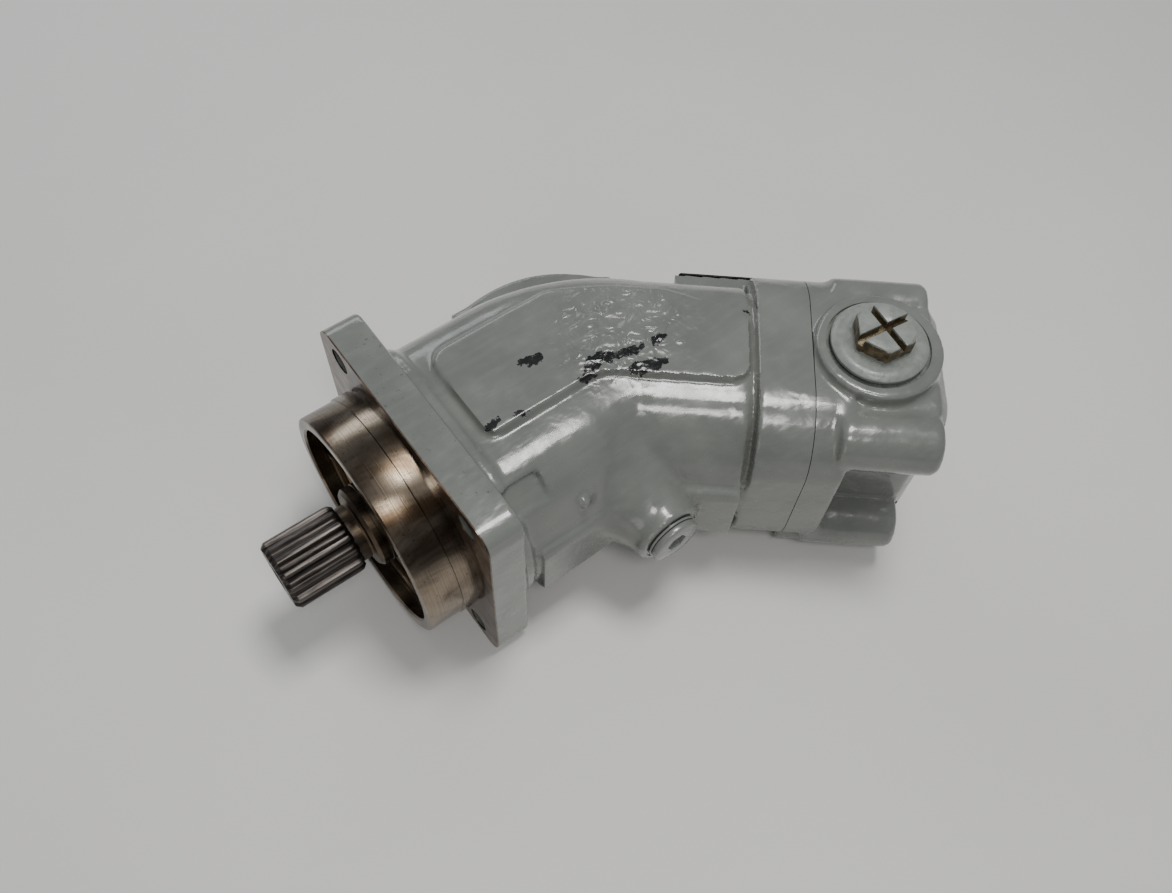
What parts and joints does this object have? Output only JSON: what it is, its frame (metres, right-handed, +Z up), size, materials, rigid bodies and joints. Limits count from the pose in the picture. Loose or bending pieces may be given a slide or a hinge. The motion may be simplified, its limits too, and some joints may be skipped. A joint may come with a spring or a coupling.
{
  "type": "bent-axis axial piston pump",
  "caption": "Bent-axis axial piston pump with a square mounting flange, centring pilot, splined shaft, angled cylinder barrel and side ports in a bolted end cover.",
  "frame": {"origin": "centre of the underside of the overall box, at the height of the flange's lower edge", "axes": "+X runs along the drive shaft from its splined end towards the rear, +Z is up along the port axis, and +Y points to the outside of the bend"},
  "size_m": [0.2816, 0.1835, 0.1145],
  "materials": {
    "grey_paint": "glossy grey enamel over cast iron",
    "seal_carrier_steel": "dark turned steel",
    "shaft_steel": "dark hardened steel",
    "bearing_steel": "ground bearing steel",
    "bronze": "bronze",
    "olive_zinc": "olive chromated zinc",
    "black_oxide": "black oxide",
    "rubber": "matt nitrile rubber",
    "plate_alloy": "dark anodised",
    "copper": "copper"
  },
  "bodies": {
    "casing": {"housing": "grey_paint", "end_cover": "grey_paint", "cover_o_ring": "rubber", "cover_bolt_1": "black_oxide", "cover_bolt_2": "black_oxide", "cover_bolt_3": "black_oxide", "cover_bolt_4": "black_oxide", "dowel_1": "bearing_steel", "dowel_2": "bearing_steel", "nameplate": "plate_alloy", "nameplate_rivet_1": "plate_alloy", "nameplate_rivet_2": "plate_alloy", "port_plug_top": "olive_zinc", "port_plug_bottom": "olive_zinc", "port_washer_top": "copper", "port_washer_bottom": "copper", "drain_plug": "grey_paint", "drain_washer": "copper", "seal_carrier": "seal_carrier_steel", "carrier_o_ring": "rubber", "shaft_seal": "rubber", "snap_ring": "black_oxide", "front_bearing_outer": "bearing_steel", "rear_bearing_outer": "bearing_steel", "bearing_spacer": "bearing_steel", "valve_plate": "bearing_steel", "valve_plate_pin": "bearing_steel"},
    "shaft": {"drive_shaft": "shaft_steel", "retaining_plate": "bearing_steel", "retaining_screw_1": "black_oxide", "retaining_screw_2": "black_oxide", "retaining_screw_3": "black_oxide", "front_bearing_inner": "bearing_steel", "rear_bearing_inner": "bearing_steel"},
    "block": {"cylinder_block": "bronze", "centre_pin": "bearing_steel", "centre_spring": "bearing_steel"},
    "front_roller_cage": {"front_bearing_rollers": "bronze"},
    "rear_roller_cage": {"rear_bearing_rollers": "bronze"},
    "ball_1": {"piston_ball_1": "bearing_steel"},
    "rod_1": {"piston_1": "bearing_steel"},
    "ball_2": {"piston_ball_2": "bearing_steel"},
    "rod_2": {"piston_2": "bearing_steel"},
    "ball_3": {"piston_ball_3": "bearing_steel"},
    "rod_3": {"piston_3": "bearing_steel"},
    "ball_4": {"piston_ball_4": "bearing_steel"},
    "rod_4": {"piston_4": "bearing_steel"},
    "ball_5": {"piston_ball_5": "bearing_steel"},
    "rod_5": {"piston_5": "bearing_steel"},
    "ball_6": {"piston_ball_6": "bearing_steel"},
    "rod_6": {"piston_6": "bearing_steel"},
    "ball_7": {"piston_ball_7": "bearing_steel"},
    "rod_7": {"piston_7": "bearing_steel"}
  },
  "joints": [
    {"name": "shaft_spin", "type": "hinge", "parent": "casing", "child": "shaft", "pos_m": [-0.08029, 0.03331, 0.053], "axis": [1, 0, 0], "continuous": true},
    {"name": "block_spin", "type": "hinge", "parent": "casing", "child": "block", "pos_m": [0.00641, 0.03331, 0.053], "axis": [0.766, -0.6428, 0], "continuous": true},
    {"name": "front_cage_spin", "type": "hinge", "parent": "casing", "child": "front_roller_cage", "pos_m": [-0.08029, 0.03331, 0.053], "axis": [1, 0, 0], "continuous": true},
    {"name": "rear_cage_spin", "type": "hinge", "parent": "casing", "child": "rear_roller_cage", "pos_m": [-0.08029, 0.03331, 0.053], "axis": [1, 0, 0], "continuous": true},
    {"name": "ball_1_turn", "type": "hinge", "parent": "shaft", "child": "ball_1", "pos_m": [0.00641, 0.05581, 0.053], "axis": [1, 0, 0], "continuous": true},
    {"name": "piston_1_sway", "type": "hinge", "parent": "ball_1", "child": "rod_1", "pos_m": [0.00641, 0.05581, 0.053], "axis": [0.766, -0.6428, 0], "continuous": true},
    {"name": "ball_2_turn", "type": "hinge", "parent": "shaft", "child": "ball_2", "pos_m": [0.00641, 0.04733, 0.07059], "axis": [1, 0, 0], "continuous": true},
    {"name": "piston_2_sway", "type": "hinge", "parent": "ball_2", "child": "rod_2", "pos_m": [0.00641, 0.04733, 0.07059], "axis": [0.766, -0.6428, 0], "continuous": true},
    {"name": "ball_3_turn", "type": "hinge", "parent": "shaft", "child": "ball_3", "pos_m": [0.00641, 0.0283, 0.07494], "axis": [1, 0, 0], "continuous": true},
    {"name": "piston_3_sway", "type": "hinge", "parent": "ball_3", "child": "rod_3", "pos_m": [0.00641, 0.0283, 0.07494], "axis": [0.766, -0.6428, 0], "continuous": true},
    {"name": "ball_4_turn", "type": "hinge", "parent": "shaft", "child": "ball_4", "pos_m": [0.00641, 0.01303, 0.06276], "axis": [1, 0, 0], "continuous": true},
    {"name": "piston_4_sway", "type": "hinge", "parent": "ball_4", "child": "rod_4", "pos_m": [0.00641, 0.01303, 0.06276], "axis": [0.766, -0.6428, 0], "continuous": true},
    {"name": "ball_5_turn", "type": "hinge", "parent": "shaft", "child": "ball_5", "pos_m": [0.00641, 0.01303, 0.04324], "axis": [1, 0, 0], "continuous": true},
    {"name": "piston_5_sway", "type": "hinge", "parent": "ball_5", "child": "rod_5", "pos_m": [0.00641, 0.01303, 0.04324], "axis": [0.766, -0.6428, 0], "continuous": true},
    {"name": "ball_6_turn", "type": "hinge", "parent": "shaft", "child": "ball_6", "pos_m": [0.00641, 0.0283, 0.03106], "axis": [1, 0, 0], "continuous": true},
    {"name": "piston_6_sway", "type": "hinge", "parent": "ball_6", "child": "rod_6", "pos_m": [0.00641, 0.0283, 0.03106], "axis": [0.766, -0.6428, 0], "continuous": true},
    {"name": "ball_7_turn", "type": "hinge", "parent": "shaft", "child": "ball_7", "pos_m": [0.00641, 0.04733, 0.03541], "axis": [1, 0, 0], "continuous": true},
    {"name": "piston_7_sway", "type": "hinge", "parent": "ball_7", "child": "rod_7", "pos_m": [0.00641, 0.04733, 0.03541], "axis": [0.766, -0.6428, 0], "continuous": true}
  ],
  "couplings": [
    {"joint": "block_spin", "follows": "shaft_spin", "ratio": 1},
    {"joint": "front_cage_spin", "follows": "shaft_spin", "ratio": 0.4341},
    {"joint": "rear_cage_spin", "follows": "shaft_spin", "ratio": 0.4455},
    {"joint": "ball_1_turn", "follows": "shaft_spin", "ratio": -1},
    {"joint": "piston_1_sway", "follows": "shaft_spin", "ratio": -1},
    {"joint": "ball_2_turn", "follows": "shaft_spin", "ratio": -1},
    {"joint": "piston_2_sway", "follows": "shaft_spin", "ratio": -1},
    {"joint": "ball_3_turn", "follows": "shaft_spin", "ratio": -1},
    {"joint": "piston_3_sway", "follows": "shaft_spin", "ratio": -1},
    {"joint": "ball_4_turn", "follows": "shaft_spin", "ratio": -1},
    {"joint": "piston_4_sway", "follows": "shaft_spin", "ratio": -1},
    {"joint": "ball_5_turn", "follows": "shaft_spin", "ratio": -1},
    {"joint": "piston_5_sway", "follows": "shaft_spin", "ratio": -1},
    {"joint": "ball_6_turn", "follows": "shaft_spin", "ratio": -1},
    {"joint": "piston_6_sway", "follows": "shaft_spin", "ratio": -1},
    {"joint": "ball_7_turn", "follows": "shaft_spin", "ratio": -1},
    {"joint": "piston_7_sway", "follows": "shaft_spin", "ratio": -1}
  ]
}
